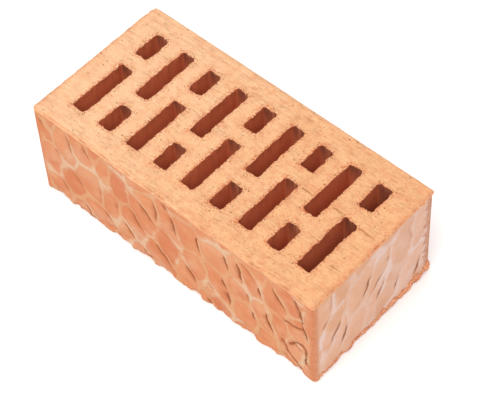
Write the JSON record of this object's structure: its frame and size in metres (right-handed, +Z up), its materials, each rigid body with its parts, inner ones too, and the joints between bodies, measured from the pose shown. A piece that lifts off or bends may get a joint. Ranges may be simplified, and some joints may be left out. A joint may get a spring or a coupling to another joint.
{
  "type": "perforated clay facing brick",
  "caption": "Rectangular extruded clay facing brick with staggered long and short slots through its bed faces and bark-textured faces, laid in mortar in walls.",
  "frame": {"origin": "centre of the lower bed face, on the plane that the brick rests on", "axes": "+X along the length towards the textured header, +Y across the width from the textured stretcher to the plain one, +Z up through the slots"},
  "size_m": [0.25, 0.12, 0.088],
  "materials": {
    "fired_clay": "matt fired clay, peach and salmon orange, with pale lime bloom on the textured faces"
  },
  "bodies": {
    "root": {"brick": "fired_clay"}
  },
  "joints": []
}
